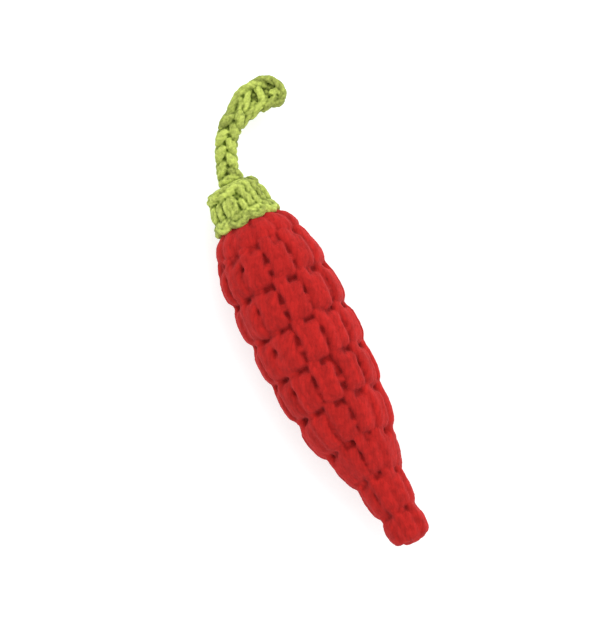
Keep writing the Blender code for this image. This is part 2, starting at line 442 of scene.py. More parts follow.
@dataclass(frozen=True)
class BodyForm(TurnedForm):
    """The stuffed tube, whose blunt tip bends to one side."""

    outline: tuple[Pair, ...] = (
        (0, 0.5), (0.3, 2.6), (1, 4.2), (2.2, 5.1), (4.9, 5.6), (12, 6.0), (20, 7.4), (30, 10.6),
        (36, 12.1), (46, 13.6), (58, 14.4), (68, 14.6), (79, 14.3), (86.8, 12.7), (92, 10.5), (93, 9.3),
        (94.2, 7.9), (95.4, 6.8), (96.6, 6.1), (100.5, 5.2),
    )
    tip_bend: float = 1.8
    bend_length: float = 42.0
    bend_power: float = 1.3
    row_lean: tuple[Pair, ...] = (
        (0, 0.0), (4, 0.35), (9, 1.3), (18, 2.45), (28, 2.45), (41, 1.7), (55, 1.15), (84, 1.1),
        (91, 0.0),
    )

    def bend(self, station: float) -> float:
        """How far the middle line lies towards +X."""
        share = min(max(1 - station / self.bend_length, 0.0), 1.0)
        return self.tip_bend * share**self.bend_power

    def lean(self, station: float) -> float:
        """How far a row lies further along at the top than at the sides."""
        return smooth_value(self.row_lean, station)


@dataclass(frozen=True)
class CapForm(TurnedForm):
    """The cap, a small cup over the body's neck."""

    outline: tuple[Pair, ...] = (
        (93.5, 9.45), (95, 9.3), (97.2, 8.8), (101.9, 7.8), (104.4, 7.2), (105.2, 6.4), (105.6, 4.6),
        (105.8, 0.5),
    )


@dataclass
class StemForm:
    """The cord's middle line and its width, for points given beside and above that line."""

    route: tuple[Triple, ...] = (
        (0.9, 105.9, 11.5), (1.4, 109.1, 11.4), (4.1, 115.3, 11.0), (8.7, 120.3, 10.4),
        (14.9, 123.0, 9.6), (18.6, 122.8, 9.2), (21.2, 121.9, 8.9), (23.0, 120.9, 8.7),
    )
    outline: tuple[Pair, ...] = (
        (0, 3.95), (0.12, 3.2), (0.3, 3.15), (0.5, 3.4), (0.63, 3.7), (0.76, 4.3), (0.86, 3.7),
        (0.95, 2.9), (1, 1.4),
    )
    flatness: float = 0.86
    fine_step: float = 0.25
    window: int = 2

    def __post_init__(self) -> None:
        """Measures the middle line."""
        self.line = smooth_path([placed(*point) for point in self.route], self.fine_step)
        self.reach = [0.0]
        for low, high in zip(self.line, self.line[1:]):
            self.reach.append(self.reach[-1] + (high - low).length)
        self.length = self.reach[-1]

    def half_width(self, along: float) -> float:
        """Half the cord's width at a distance along it."""
        return smooth_value(self.outline, along / self.length)

    def point(self, along: float, side: float, rise: float) -> Vector:
        """A point in or round the cord.

        Args:
            along: the distance from the cap.
            side: how far it lies to the hook's inner side of the middle line.
            rise: how far it lies above the middle line.

        Returns:
            The point in millimetres, in the part's frame.
        """
        index = min(max(bisect_right(self.reach, along), 1), len(self.line) - 1)
        low, high = self.line[index - 1], self.line[index]
        span = self.reach[index] - self.reach[index - 1]
        centre = low + (high - low) * ((along - self.reach[index - 1]) / span)
        last = min(index + self.window, len(self.line) - 1)
        ahead = self.line[last] - self.line[max(index - 1 - self.window, 0)]
        across = ahead.cross(Vector((0, 0, 1))).normalized()
        above = across.cross(ahead).normalized()
        return centre + across * side + above * rise


@dataclass(frozen=True)
class Band:
    """Two rows of stitches round the body.

    The fills are how far its gaps and its end are filled, from 0 to 1. Sag is the range of how far
    its end sinks, and its end is drawn in where a stitch's turn in degrees lies in drawn_in.
    """

    start: float
    length: float
    stitches: int
    first_gap: float
    gap_fill: float = 0.0
    end_fill: float = 0.0
    sag: Pair = (0.0, 0.75)
    drawn_in: Pair = (285.0, 350.0)


class BodyStrand(Enum):
    """The strands of one stitch in a band of the body, as (across, along, depth) points.

    Across is in stitch widths from the gap on the stitch's left, along is in bands from the
    band's tip end, and depth is in yarn radii below the tops of the stitches.
    """

    BRIDGING_LEG = (
        (0.34, 0.135, 3.4), (0.335, 0.145, 2.3), (0.32, 0.185, 1.6), (0.32, 0.25, 1.2),
        (0.35, 0.38, 1.02), (0.355, 0.52, 0.98), (0.35, 0.67, 1.05), (0.31, 0.79, 1.2),
        (0.27, 0.89, 1.3), (0.25, 0.98, 1.5), (0.255, 1.07, 1.6), (0.28, 1.12, 2.1), (0.30, 1.15, 2.9),
        (0.31, 1.16, 3.8),
    )
    ENDED_LEG = (
        (0.67, 0.135, 3.4), (0.675, 0.145, 2.3), (0.69, 0.185, 1.6), (0.69, 0.25, 1.2),
        (0.65, 0.38, 1.02), (0.645, 0.52, 0.98), (0.65, 0.65, 1.05), (0.70, 0.77, 1.2),
        (0.74, 0.83, 1.6), (0.735, 0.855, 2.4), (0.73, 0.865, 3.4),
    )
    BAR = (
        (-0.32, 0.44, 3.0), (-0.14, 0.445, 2.1), (0.0, 0.45, 1.8), (0.14, 0.455, 2.1),
        (0.32, 0.46, 3.0),
    )
    GAP_FILL = (
        (0.0, 0.04, 3.2), (0.0, 0.12, 2.1), (0.0, 0.30, 1.45), (0.0, 0.50, 1.2), (0.0, 0.68, 1.3),
        (0.0, 0.87, 1.6), (0.0, 0.97, 2.8),
    )
    END_FILL = (
        (0.66, 0.70, 3.0), (0.66, 0.80, 2.2), (0.66, 0.92, 1.85), (0.66, 1.04, 1.9), (0.66, 1.14, 2.3),
        (0.66, 1.24, 3.2),
    )


class CapStrand(Enum):
    """The strands of one stitch of the cap, as (across, station, depth) points.

    Across is in stitch widths from the gap on the stitch's left, and depth is in yarn radii
    below the tops of the stitches.
    """

    EDGE_LOOP = (
        (-0.22, 97.6, 2.2), (-0.06, 96.9, 1.35), (0.14, 95.7, 1.0), (0.38, 94.95, 0.95),
        (0.62, 94.85, 0.95), (0.84, 95.4, 1.0), (1.02, 96.4, 1.2), (1.2, 97.4, 2.0),
    )
    EDGE_CHAIN = (
        (0.0, 97.3, 2.0), (0.2, 96.9, 1.2), (0.5, 96.5, 1.0), (0.8, 96.7, 1.2), (1.0, 97.2, 2.0),
    )
    LEFT_POST = (
        (0.42, 97.2, 2.1), (0.38, 97.9, 1.35), (0.33, 98.9, 1.0), (0.29, 100.2, 0.98),
        (0.27, 101.3, 1.05), (0.25, 102.2, 1.5), (0.25, 102.9, 2.2),
    )
    RIGHT_POST = (
        (0.60, 97.2, 2.1), (0.64, 97.9, 1.35), (0.68, 98.9, 1.0), (0.71, 100.2, 0.98),
        (0.74, 101.4, 1.05), (0.77, 102.4, 1.3), (0.80, 103.2, 1.9),
    )
    TOP_WRAP = (
        (-0.30, 102.6, 2.3), (-0.10, 103.0, 1.4), (0.16, 103.3, 1.0), (0.45, 103.6, 0.95),
        (0.74, 103.9, 1.0), (1.0, 104.2, 1.3), (1.2, 104.3, 2.1),
    )
    TOP_TURN = (
        (0.25, 103.6, 2.0), (0.32, 104.5, 1.15), (0.42, 105.2, 1.0), (0.52, 105.6, 1.0),
        (0.56, 105.7, 1.1), (0.58, 105.75, 2.0),
    )


class CapFaceStrand(Enum):
    """The strands on the cap's upper face, as (side, station, depth) points.

    Side is in millimetres towards +X, and depth is in yarn radii below the tops.
    """

    LEFT_LUMP = (
        (-7.6, 102.7, 2.0), (-7.0, 103.2, 1.1), (-5.9, 103.5, 0.9), (-4.9, 103.7, 1.0),
        (-4.2, 104.1, 1.6), (-4.0, 104.5, 2.4),
    )
    LUMP_TURN = (
        (-6.2, 103.4, 2.0), (-5.6, 104.3, 1.1), (-4.6, 104.9, 1.0), (-3.4, 105.2, 1.2),
        (-2.6, 105.5, 2.0),
    )
    RISING = (
        (-4.9, 102.1, 2.4), (-4.2, 102.6, 1.4), (-3.1, 103.0, 1.0), (-1.6, 103.3, 0.9),
        (-0.1, 103.6, 0.9), (1.0, 104.3, 1.0), (1.7, 105.0, 1.3), (1.9, 105.5, 2.2),
    )
    ABOVE_RISING = (
        (-3.9, 104.2, 2.2), (-2.9, 104.6, 1.2), (-1.5, 104.9, 1.0), (-0.2, 105.2, 1.1),
        (0.5, 105.6, 1.6),
    )
    BLOCK_LEFT = (
        (-3.75, 97.4, 2.2), (-3.7, 97.9, 1.3), (-3.6, 98.8, 0.92), (-3.5, 100.3, 0.88),
        (-3.4, 101.2, 1.15), (-3.3, 101.6, 2.1),
    )
    BLOCK_MIDDLE = (
        (-2.6, 97.4, 2.2), (-2.6, 97.9, 1.2), (-2.5, 98.9, 0.88), (-2.4, 100.4, 0.85),
        (-2.3, 101.4, 1.1), (-2.2, 101.9, 2.1),
    )
    BLOCK_RIGHT = (
        (-1.5, 97.5, 2.2), (-1.5, 98.0, 1.3), (-1.45, 98.9, 0.92), (-1.35, 100.3, 0.88),
        (-1.3, 101.2, 1.15), (-1.3, 101.6, 2.1),
    )
    LEFT_POST = (
        (-5.6, 101.7, 2.1), (-5.7, 101.1, 1.3), (-6.0, 99.6, 1.0), (-6.2, 98.3, 1.2), (-6.2, 97.5, 2.2),
    )
    SIDE_POST = (
        (-7.2, 101.8, 2.0), (-7.35, 100.9, 1.1), (-7.7, 99.4, 1.0), (-8.0, 98.1, 1.3),
        (-8.1, 97.4, 2.2),
    )
    SMALL_BLOCK = (
        (1.4, 97.6, 2.2), (1.45, 98.2, 1.2), (1.3, 99.1, 1.0), (1.0, 99.9, 1.5), (0.8, 100.3, 2.4),
    )
    FIRST_POST = (
        (3.7, 97.3, 2.2), (3.55, 98.0, 1.2), (3.2, 99.6, 0.95), (2.75, 101.2, 0.92), (2.4, 102.6, 0.95),
        (2.5, 103.8, 1.0), (2.9, 104.9, 1.3), (3.0, 105.4, 2.2),
    )
    SECOND_POST = (
        (5.5, 97.3, 2.2), (5.35, 98.2, 1.1), (5.0, 99.8, 0.95), (4.6, 101.6, 0.92), (4.4, 103.2, 1.0),
        (4.4, 104.3, 1.2), (4.2, 105.0, 2.2),
    )
    THIRD_POST = (
        (7.3, 97.5, 2.2), (7.1, 98.3, 1.1), (6.7, 100.0, 0.95), (6.3, 101.6, 0.95), (6.0, 103.0, 1.0),
        (5.7, 104.2, 1.4), (5.5, 104.8, 2.2),
    )


class HookStrand(Enum):
    """The looser strands of the hook, as (x, station, rise) points.

    Rise is in millimetres above the cord's middle on the upper face, and below it on the other.
    """

    OUTER_SIDE = (
        (7.5, 121.3, 0.0), (10.2, 124.0, 0.0), (13.4, 125.8, 0.0), (16.6, 126.1, 0.0),
        (19.3, 126.3, 0.0), (21.3, 125.8, 0.0), (22.7, 124.4, 0.0), (23.45, 122.6, 0.0),
        (23.3, 120.9, 0.0), (22.2, 119.4, 0.0), (20.9, 118.9, 0.0), (19.5, 119.5, 0.0),
    )
    INNER_SIDE = (
        (9.6, 117.9, 0.0), (12.0, 119.5, 0.0), (14.4, 120.1, 0.0), (16.7, 120.4, 0.0),
        (18.6, 120.2, 0.0), (20.3, 119.6, 0.0),
    )
    FIRST_OUTER = (
        (7.8, 121.1, 0.2), (9.8, 123.4, 1.2), (12.4, 125.2, 1.6), (14.6, 125.6, 1.3),
        (15.8, 124.8, 0.6),
    )
    SECOND_OUTER = (
        (12.0, 125.4, 0.3), (14.1, 126.1, 1.2), (16.6, 126.1, 1.6), (18.8, 125.5, 1.4),
        (19.8, 124.9, 0.6),
    )
    LAST_OUTER = (
        (16.8, 126.4, 0.3), (18.8, 126.5, 1.3), (20.8, 126.0, 1.6), (22.4, 124.6, 1.5),
        (23.2, 122.8, 1.4), (23.2, 121.0, 1.2), (22.2, 119.6, 1.2), (20.9, 119.1, 1.1),
        (19.6, 119.7, 0.7),
    )
    FIRST_INNER = (
        (9.6, 117.8, 0.2), (11.4, 119.0, 1.2), (13.2, 120.0, 1.6), (14.6, 120.9, 1.3),
        (15.2, 121.4, 0.5),
    )
    SECOND_INNER = (
        (12.9, 118.9, 0.2), (14.5, 119.7, 1.2), (16.4, 120.4, 1.6), (18.0, 121.1, 1.3),
        (18.6, 121.6, 0.5),
    )
    LAST_INNER = (
        (16.6, 119.3, 0.2), (18.2, 119.8, 1.2), (19.8, 120.0, 1.6), (21.0, 120.8, 1.3),
    )
    BETWEEN_HOLES = (
        (17.5, 125.5, 0.9), (17.8, 124.3, 1.6), (17.8, 122.9, 1.8), (17.6, 121.5, 1.6),
        (17.0, 120.4, 0.9),
    )
    LEFT_OF_HOLES = (
        (15.0, 125.2, 0.9), (14.4, 123.9, 1.6), (13.4, 122.3, 1.8), (12.5, 120.8, 1.6),
        (12.0, 119.6, 0.9),
    )
    MIDDLE_ARC = (
        (15.6, 124.0, 0.1), (17.4, 124.5, 0.1), (19.2, 124.6, 0.1), (20.8, 124.0, 0.1),
        (21.8, 122.6, 0.1), (21.7, 120.9, 0.1),
    )
    KNOB_MIDDLE = (
        (17.8, 122.5, 0.1), (19.4, 122.7, 0.1), (20.3, 121.8, 0.1), (20.4, 120.4, 0.1),
    )
    CROSSING = (
        (9.2, 119.0, 0.4), (10.4, 120.4, 1.5), (11.8, 122.2, 1.6), (12.9, 123.8, 1.4),
        (13.4, 125.0, 0.6),
    )


@dataclass(frozen=True)
class FibreDrawing:
    """The node group that draws a yarn's fibres, and paints shade in the valleys between its plies and
    in its hollows.
    """

    valley_power: float = 3.0
    fibre_detail: float = 3.0
    fibre_roughness: float = 0.6
    mottle_detail: float = 2.0
    tone_spread: float = 0.55
    least_tone: float = 0.5
    strand_gap: float = 37.0
    strand_mottle: float = 0.35

    def build(self) -> bpy.types.NodeTree:
        """Builds the group.

        Returns:
            A group whose inputs are named after a YarnFinish's fields, and whose outputs are the
            skin's Colour, with its painted shade, and its Height.
        """
        group = bpy.data.node_groups.new("yarn_fibres", "ShaderNodeTree")
        colours = ("Colour", "Valley Shade", "Hollow Colour")
        numbers = ("Ply Depth", "Hollow From", "Hollow To", "Plies", "Twist Length")
        numbers += ("Fibres Round", "Fibres Along", "Mottle", "Mottle Scale")
        sockets = [(name, "INPUT", "NodeSocketColor") for name in colours]
        sockets += [(name, "INPUT", "NodeSocketFloat") for name in numbers]
        sockets += [("Colour", "OUTPUT", "NodeSocketColor"), ("Height", "OUTPUT", "NodeSocketFloat")]
        for name, way, kind in sockets:
            group.interface.new_socket(name, in_out=way, socket_type=kind)
        nodes, links = group.nodes, group.links
        given = nodes.new("NodeGroupInput").outputs
        result = nodes.new("NodeGroupOutput")

        def maths(operation: str, *values: Socket | float) -> Socket:
            """Adds a Math node on sockets or numbers and gives its output."""
            node = nodes.new("ShaderNodeMath")
            node.operation = operation
            for socket, value in zip(node.inputs, values):
                if isinstance(value, Socket):
                    links.new(value, socket)
                else:
                    socket.default_value = value
            return node.outputs[0]

        def mixed(factor: Socket, low: Socket, high: Socket) -> Socket:
            """Adds a Mix node on two colours and gives its output."""
            node = nodes.new("ShaderNodeMix")
            node.data_type = "RGBA"
            for name, socket in (("Factor", factor), ("A", low), ("B", high)):
                links.new(socket, node.inputs[name])
            return node.outputs["Result"]

        def attribute(name: str) -> bpy.types.Node:
            """Adds a node that reads one of the skin's attributes."""
            node = nodes.new("ShaderNodeAttribute")
            node.attribute_name = name
            return node

        split = nodes.new("ShaderNodeSeparateXYZ")
        links.new(attribute("yarn_place").outputs["Vector"], split.inputs[0])
        along, turn, number = split.outputs
        twist = maths("SUBTRACT", turn, maths("DIVIDE", along, given["Twist Length"]))
        phase = maths("MULTIPLY", maths("MULTIPLY", twist, given["Plies"]), math.tau)
        valley = maths("MULTIPLY_ADD", maths("COSINE", phase), 0.5, 0.5)
        valley = maths("POWER", valley, self.valley_power)

        spot = nodes.new("ShaderNodeCombineXYZ")
        links.new(maths("MULTIPLY", along, given["Fibres Along"]), spot.inputs["X"])
        links.new(maths("MULTIPLY", twist, given["Fibres Round"]), spot.inputs["Y"])
        links.new(maths("MULTIPLY", number, self.strand_gap), spot.inputs["Z"])
        fibres = nodes.new("ShaderNodeTexNoise")
        fibres.inputs["Scale"].default_value = 1.0
        fibres.inputs["Detail"].default_value = self.fibre_detail
        fibres.inputs["Roughness"].default_value = self.fibre_roughness
        links.new(spot.outputs[0], fibres.inputs["Vector"])

        own = nodes.new("ShaderNodeTexCoord")
        mottle = nodes.new("ShaderNodeTexNoise")
        links.new(given["Mottle Scale"], mottle.inputs["Scale"])
        mottle.inputs["Detail"].default_value = self.mottle_detail
        links.new(own.outputs["Object"], mottle.inputs["Vector"])

        tone = maths("MULTIPLY", fibres.outputs["Fac"], self.tone_spread)
        tone = maths("ADD", tone, self.least_tone)
        spread = maths("SUBTRACT", mottle.outputs["Fac"], 0.5)
        spread = maths("MULTIPLY", spread, given["Mottle"])
        strand = maths("SUBTRACT", number, 0.5)
        strand = maths("MULTIPLY", strand, maths("MULTIPLY", given["Mottle"], self.strand_mottle))
        tone = maths("ADD", maths("ADD", tone, spread), strand)

        # Painted shade: the colour darkens towards the valley shade in the grooves between plies,
        # following their twist.
        sunk_height = maths("MULTIPLY", valley, given["Ply Depth"])
        sunk = mixed(sunk_height, given["Colour"], given["Valley Shade"])
        # Painted shade in the hollows between strands: the colour darkens towards the hollow shade
        # where yarn_hollow says the skin lies below its surroundings.
        hollow = nodes.new("ShaderNodeMapRange")
        hollow.interpolation_type = "SMOOTHSTEP"
        links.new(attribute("yarn_hollow").outputs["Fac"], hollow.inputs["Value"])
        links.new(given["Hollow From"], hollow.inputs["From Min"])
        links.new(given["Hollow To"], hollow.inputs["From Max"])
        toned = nodes.new("ShaderNodeVectorMath")
        toned.operation = "SCALE"
        links.new(mixed(hollow.outputs["Result"], sunk, given["Hollow Colour"]), toned.inputs[0])
        links.new(tone, toned.inputs["Scale"])
        links.new(toned.outputs[0], result.inputs["Colour"])
        height = maths("SUBTRACT", fibres.outputs["Fac"], sunk_height)
        links.new(height, result.inputs["Height"])
        return group


@dataclass(frozen=True)
class YarnFinish:
    """A matt yarn, seen as fine fibres laid along its plies.

    Its fields up to mottle_scale are the inputs of the group that draws the yarn.
    """

    name: str
    colour: Triple
    # Painted shade: the next two colours darken the grooves between plies and the hollows between
    # strands.
    valley_shade: Triple
    hollow_colour: Triple
    sheen_tint: Triple
    ply_depth: float = 0.5
    # The range of yarn_hollow over which the hollows' painted shade comes in.
    hollow_from: float = 0.0
    hollow_to: float = 0.6
    plies: int = 4
    twist_length: float = 11.0
    fibres_round: float = 40.0
    fibres_along: float = 0.5
    mottle: float = 0.35
    mottle_scale: float = 300.0
    roughness: float = 0.9
    specular: float = 0.12
    sheen: float = 0.33
    sheen_roughness: float = 0.6
    bump: float = 0.35
    bump_depth: float = 0.12

    def make(self, fibres: bpy.types.NodeTree) -> bpy.types.Material:
        """Builds the material.

        Args:
            fibres: the shared group that draws the yarn.

        Returns:
            The material.
        """
        material, shader = new_material(self.name, self.roughness, self.specular)
        nodes, links = material.node_tree.nodes, material.node_tree.links
        shader.inputs["Sheen Weight"].default_value = self.sheen
        shader.inputs["Sheen Roughness"].default_value = self.sheen_roughness
        shader.inputs["Sheen Tint"].default_value = (*self.sheen_tint, 1)
        drawn = nodes.new("ShaderNodeGroup")
        drawn.node_tree = fibres
        for socket in drawn.inputs:
            value = getattr(self, socket.name.lower().replace(" ", "_"))
            socket.default_value = (*value, 1) if isinstance(value, tuple) else value
        bump = nodes.new("ShaderNodeBump")
        bump.inputs["Strength"].default_value = self.bump
        bump.inputs["Distance"].default_value = self.bump_depth * MM
        links.new(drawn.outputs["Height"], bump.inputs["Height"])
        links.new(drawn.outputs["Colour"], shader.inputs["Base Color"])
        links.new(bump.outputs["Normal"], shader.inputs["Normal"])
        return material


@dataclass(frozen=True)
class FeltedFinish:
    """Matted fibre without plies, for the filling."""

    name: str
    colour: Triple
    dark: Triple
    grain: float = 900.0
    detail: float = 4.0
    bump_depth: float = 0.3
    roughness: float = 0.95
    specular: float = 0.1

    def make(self) -> bpy.types.Material:
        """Builds the material."""
        material, shader = new_material(self.name, self.roughness, self.specular)
        nodes, links = material.node_tree.nodes, material.node_tree.links
        own = nodes.new("ShaderNodeTexCoord")
        matted = nodes.new("ShaderNodeTexNoise")
        matted.inputs["Scale"].default_value = self.grain
        matted.inputs["Detail"].default_value = self.detail
        links.new(own.outputs["Object"], matted.inputs["Vector"])
        blend = nodes.new("ShaderNodeMix")
        blend.data_type = "RGBA"
        blend.inputs["A"].default_value = (*self.dark, 1)
        blend.inputs["B"].default_value = (*self.colour, 1)
        links.new(matted.outputs["Fac"], blend.inputs["Factor"])
        links.new(blend.outputs["Result"], shader.inputs["Base Color"])
        bump = nodes.new("ShaderNodeBump")
        bump.inputs["Distance"].default_value = self.bump_depth * MM
        links.new(matted.outputs["Fac"], bump.inputs["Height"])
        links.new(bump.outputs["Normal"], shader.inputs["Normal"])
        return material


def rounded_form(name: str, form: TurnedForm, depth: float, ends: Pair, floor: float) -> Piece:
    """Shapes a ball of faces into a form at a depth below the tops of its stitches.

    Args:
        name: the piece's name.
        form: the form that it follows.
        depth: millimetres below the tops of the stitches.
        ends: the stations of its two ends.
        floor: the least height of a vertex.

    Returns:
        The piece, closed and smooth shaded.
    """
    start, end = ends
    bm = bmesh.new()
    bmesh.ops.create_uvsphere(bm, u_segments=SIDES_ROUND, v_segments=RINGS_ALONG, radius=1.0)
    for vertex in bm.verts:
        share = share_down(vertex)
        station = start + (end - start) * share
        turn = math.atan2(vertex.co.x, vertex.co.y)
        to_end = min(share, 1 - share) * (end - start)
        closing = 1 - math.sqrt(min(to_end / depth, 1.0))
        room = smooth_value(form.outline, station)
        vertex.co = form.point(station, turn, depth + (room - depth) * closing) * MM
        vertex.co.z = max(vertex.co.z, floor * MM)
    return link_mesh(name, bm)


@dataclass
class CrochetedBody:
    """The red body: strands in bands of two rows over a thin fabric, with fibre filling inside.

    Its spans are turns in degrees. Its flanks near the tip and the rim low on both sides are worked
    more closely, its faint ends are filled a little, and its dotted gaps are closed but for a dot.
    """

    form: BodyForm = field(default_factory=BodyForm)
    yarn: Yarn = field(default_factory=lambda: Yarn(radius=1.25, groove=0.05))
    fabric_depth: float = 2.7
    fabric_ends: Pair = (0.4, 99.0)
    fabric_floor: float = 0.25
    filling_depth: float = 3.9
    filling_ends: Pair = (1.6, 97.5)
    filling_floor: float = 0.9
    slant: float = 0.06
    ply_spread: float = 0.078
    full_width: float = 6.9
    flat_share: float = 0.93
    least_thickness: float = 0.7
    seed: int = 11
    wander_across: float = 0.042
    wander_along: float = 0.02
    wander_depth: float = 0.2
    wander_slant: float = 0.07
    fill_drop: float = 2.0
    stray_fill: float = 0.55
    sag_from: float = 0.8
    flank: Pair = (34.0, 105.0)
    far_flank: Pair = (255.0, 325.0)
    flank_until: float = 35.0
    flank_fill: float = 0.9
    rim: float = 50.0
    rim_fill: float = 0.65
    tops_lift: float = 0.18
    faint_ends: Pair = (18.0, 100.0)
    faint_fill: float = 0.6
    dotted: Pair = (306.0, 333.0)
    dot_depth: float = 2.2
    dot_middle: float = 0.66
    dot_reach: float = 0.2
    drawn_depth: float = 1.2
    drawn_middle: float = 0.97
    drawn_reach: float = 0.1
    tip_points: int = 11
    tip_thickness: float = 0.8
    tip_step: float = 60.0
    tip_station: float = 1.9
    tip_rise: float = 0.06
    tip_reach: float = 3.1
    tip_closing: float = 0.27
    bands: tuple[Band, ...] = (
        Band(0.0, 8.8, 6, 35, gap_fill=1.0, end_fill=1.0, sag=(-0.2, 0.3), drawn_in=(285.0, 370.0)),
        Band(8.8, 9.4, 8, 12, gap_fill=0.1, end_fill=0.7, sag=(-0.4, 0.1)),
        Band(18.2, 10.2, 10, -10, end_fill=0.5, sag=(-0.4, 0.1)),
        Band(28.4, 12.15, 12, 8, end_fill=0.25, sag=(-0.1, 0.6)),
        Band(40.55, 11.95, 12, -13),
        Band(52.5, 11.35, 12, -10),
        Band(63.85, 11.35, 12, -6),
        Band(75.2, 11.35, 12, -1, end_fill=0.75, sag=(-0.7, 0.0)),
        Band(86.55, 11.35, 12, 3, gap_fill=0.88),
    )

    def build(self) -> list[Piece]:
        """Makes the stitches, the fabric behind them and the filling."""
        work = YarnWork("body_stitches", self.yarn, voxel=0.35, softening=7, hollow_rounds=30)
        chance = random.Random(self.seed)
        for band in self.bands:
            for stitch in range(band.stitches):
                self._add_stitch(work, band, stitch, chance)
        self._add_tip(work)
        fabric = rounded_form(
            "body_fabric", self.form, self.fabric_depth, self.fabric_ends, self.fabric_floor
        )
        stitches = work.build(fabric, floor=0.0)
        filling = rounded_form(
            "fibre_filling", self.form, self.filling_depth, self.filling_ends, self.filling_floor
        )
        return [stitches, filling]

    def _add_tip(self, work: YarnWork) -> None:
        """Adds the turn of yarn that draws the tip together."""
        points = []
        for k in range(self.tip_points):
            turn = math.radians(self.tip_step * k)
            station = self.tip_station - self.tip_rise * k
            reach = self.tip_reach - self.tip_closing * k
            x = self.form.bend(station) + reach * math.sin(turn)
            points.append(placed(x, station, AXIS_HEIGHT + reach * math.cos(turn)))
        work.add(points, self.tip_thickness)

    def _thickness(self, band: Band) -> float:
        """The yarn's share of its full thickness in a band, less where stitches are narrow."""
        half_width = smooth_value(self.form.outline, band.start + band.length / 2)
        width = math.tau * half_width * self.flat_share / band.stitches
        return min(max(width / self.full_width, self.least_thickness), 1.0)

    def _fills(self, band: Band, stitch: int, stray: float) -> tuple[float, float, bool]:
        """How far a stitch's gap and its end are filled.

        Args:
            band: the band that the stitch is in.
            stitch: its number round the band.
            stray: the least that its gap is filled.

        Returns:
            The gap's fill, the end's fill, and whether the gap is closed but for a dot.
        """
        gap = band.first_gap + stitch * 360 / band.stitches
        middle = band.first_gap + (stitch + 0.5) * 360 / band.stitches
        near_tip = band.start < self.flank_until
        gap_fill, end_fill = max(band.gap_fill, stray), band.end_fill
        if within(middle, self.faint_ends):
            end_fill = max(end_fill, self.faint_fill)
        if near_tip and within(middle, self.flank):
            gap_fill = end_fill = self.flank_fill
        if within(gap, (self.rim, 360 - self.rim)):
            gap_fill = max(gap_fill, self.rim_fill)
        dotted = not near_tip and within(gap, self.dotted)
        if dotted or (near_tip and within(gap, self.far_flank)):
            gap_fill = self.flank_fill
        return gap_fill, end_fill, dotted

    def _add_stitch(self, work: YarnWork, band: Band, stitch: int, chance: random.Random) -> None:
        """Adds one stitch's strands.

        Args:
            work: the yarn work that takes them.
            band: the band that the stitch is in.
            stitch: its number round the band.
            chance: the source of its small irregularities.
        """
        pitch = math.tau / band.stitches
        thickness = self._thickness(band)
        shift = chance.uniform(-1, 1) * self.wander_across
        sag = chance.uniform(*band.sag)
        slant = self.slant + chance.uniform(-1, 1) * self.wander_slant
        stray = self.stray_fill * chance.random() ** 2
        gap_fill, end_fill, dotted = self._fills(band, stitch, stray)
        middle = band.first_gap + (stitch + 0.5) * 360 / band.stitches
        drawn = self.drawn_depth if within(middle, band.drawn_in) else 0.0
        filled = {BodyStrand.GAP_FILL: gap_fill, BodyStrand.END_FILL: end_fill}
        for strand in BodyStrand:
            drop = (1 - filled.get(strand, 1.0)) * self.fill_drop
            dot = self.dot_depth if dotted and strand is BodyStrand.GAP_FILL else 0.0
            rise = chance.uniform(-1, 1) * self.wander_along
            own_shift = shift + chance.uniform(-1, 1) * self.wander_across
            two_plies = strand in (BodyStrand.BRIDGING_LEG, BodyStrand.ENDED_LEG)
            for side in (-self.ply_spread, self.ply_spread) if two_plies else (0.0,):
                lift = chance.uniform(-1, 1) * self.wander_depth + drop
                points = []
                for across, along, depth in strand.value:
                    station = band.start + (along + rise) * band.length
                    place = stitch + across + side + own_shift + slant * (along - 0.5)
                    turn = math.radians(band.first_gap) + place * pitch
                    sunk = depth * self.yarn.radius * thickness + lift
                    sunk += sag * ramp(along, self.sag_from, 1.0) - self.tops_lift
                    sunk += drawn * near(along, self.drawn_middle, self.drawn_reach)
                    sunk += dot * near(along, self.dot_middle, self.dot_reach)
                    points.append(self.form.point(station, turn, sunk))
                work.add(points, thickness)

    def dress(
        self, pieces: list[Piece], yarn: bpy.types.Material, fibre: bpy.types.Material
    ) -> None:
        """Gives the pieces their materials and ties them to the frame.

        Args:
            pieces: the stitches and the filling.
            yarn: the stitches' material.
            fibre: the filling's material.
        """
        stitches, filling = pieces
        attach(stitches, yarn)
        attach(filling, fibre)
        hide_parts("body_cover")
        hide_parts("body_filling")


